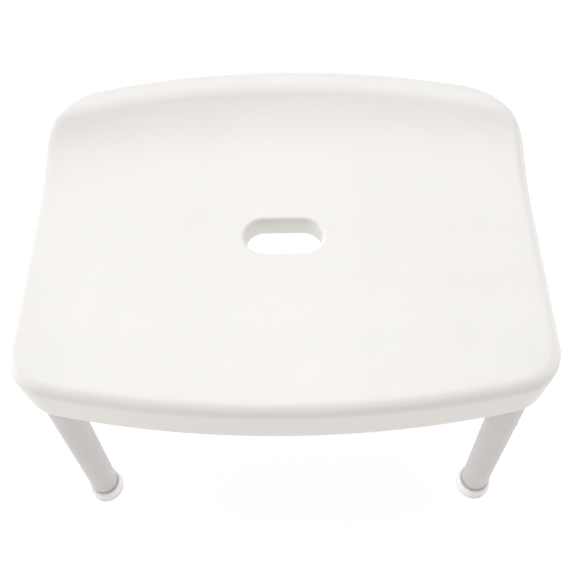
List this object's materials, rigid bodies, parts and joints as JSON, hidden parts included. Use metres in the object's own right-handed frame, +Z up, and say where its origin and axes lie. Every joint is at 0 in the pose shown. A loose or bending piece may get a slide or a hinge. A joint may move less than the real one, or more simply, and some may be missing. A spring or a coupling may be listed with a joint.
{
  "type": "shower stool",
  "caption": "Backless bathroom stool: rounded moulded plastic seat with a raised rear lip and a grip slot, on splayed telescoping metal legs with rubber feet.",
  "frame": {"origin": "on the floor, under the middle of the seat", "axes": "+Z up, +X to the sitter's left-hand side as seen from the front, -Y towards the seat's front edge"},
  "size_m": [0.5126, 0.3869, 0.3845],
  "materials": {
    "seat_plastic": "fine satin moulded surface",
    "leg_aluminium": "light grey matte anodised",
    "inner_metal": "satin anodised",
    "bush_plastic": "moulded, dark grey",
    "plug_plastic": "moulded, dark grey",
    "foot_rubber": "matte pale rubber",
    "washer_steel": "zinc plated",
    "spring_steel": "bare spring steel",
    "button_steel": "polished stainless",
    "screw_steel": "stainless, pan head"
  },
  "bodies": {
    "stool": {"seat_shell": "seat_plastic", "socket_screws": "screw_steel", "leg_tube_front_left": "leg_aluminium", "guide_bush_front_left": "bush_plastic", "leg_tube_front_right": "leg_aluminium", "guide_bush_front_right": "bush_plastic", "leg_tube_rear_left": "leg_aluminium", "guide_bush_rear_left": "bush_plastic", "leg_tube_rear_right": "leg_aluminium", "guide_bush_rear_right": "bush_plastic"},
    "inner_leg_front_left": {"inner_tube_front_left": "inner_metal", "glide_plug_front_left": "plug_plastic", "snap_spring_front_left": "spring_steel", "foot_front_left": "foot_rubber", "foot_washer_front_left": "washer_steel"},
    "button_front_left": {"snap_button_front_left": "button_steel"},
    "inner_leg_front_right": {"inner_tube_front_right": "inner_metal", "glide_plug_front_right": "plug_plastic", "snap_spring_front_right": "spring_steel", "foot_front_right": "foot_rubber", "foot_washer_front_right": "washer_steel"},
    "button_front_right": {"snap_button_front_right": "button_steel"},
    "inner_leg_rear_left": {"inner_tube_rear_left": "inner_metal", "glide_plug_rear_left": "plug_plastic", "snap_spring_rear_left": "spring_steel", "foot_rear_left": "foot_rubber", "foot_washer_rear_left": "washer_steel"},
    "button_rear_left": {"snap_button_rear_left": "button_steel"},
    "inner_leg_rear_right": {"inner_tube_rear_right": "inner_metal", "glide_plug_rear_right": "plug_plastic", "snap_spring_rear_right": "spring_steel", "foot_rear_right": "foot_rubber", "foot_washer_rear_right": "washer_steel"},
    "button_rear_right": {"snap_button_rear_right": "button_steel"}
  },
  "joints": [
    {"name": "leg_slide_front_left", "type": "slide", "parent": "stool", "child": "inner_leg_front_left", "axis": [-0.0584, -0.0174, -0.9981], "range_m": [0, 0.15]},
    {"name": "button_press_front_left", "type": "slide", "parent": "inner_leg_front_left", "child": "button_front_left", "axis": [0.9983, -0.0005, -0.0584], "range_m": [0, 0.0044], "stiffness_N_per_m": 1500, "springref_m": -0.002, "deforming": ["snap_spring_front_left"]},
    {"name": "leg_slide_front_right", "type": "slide", "parent": "stool", "child": "inner_leg_front_right", "axis": [0.0584, -0.0174, -0.9981], "range_m": [0, 0.15]},
    {"name": "button_press_front_right", "type": "slide", "parent": "inner_leg_front_right", "child": "button_front_right", "axis": [-0.9983, -0.0005, -0.0584], "range_m": [0, 0.0044], "stiffness_N_per_m": 1500, "springref_m": -0.002, "deforming": ["snap_spring_front_right"]},
    {"name": "leg_slide_rear_left", "type": "slide", "parent": "stool", "child": "inner_leg_rear_left", "axis": [-0.0584, 0.0174, -0.9981], "range_m": [0, 0.15]},
    {"name": "button_press_rear_left", "type": "slide", "parent": "inner_leg_rear_left", "child": "button_rear_left", "axis": [0.9983, 0.0005, -0.0584], "range_m": [0, 0.0044], "stiffness_N_per_m": 1500, "springref_m": -0.002, "deforming": ["snap_spring_rear_left"]},
    {"name": "leg_slide_rear_right", "type": "slide", "parent": "stool", "child": "inner_leg_rear_right", "axis": [0.0584, 0.0174, -0.9981], "range_m": [0, 0.15]},
    {"name": "button_press_rear_right", "type": "slide", "parent": "inner_leg_rear_right", "child": "button_rear_right", "axis": [-0.9983, 0.0005, -0.0584], "range_m": [0, 0.0044], "stiffness_N_per_m": 1500, "springref_m": -0.002, "deforming": ["snap_spring_rear_right"]}
  ]
}
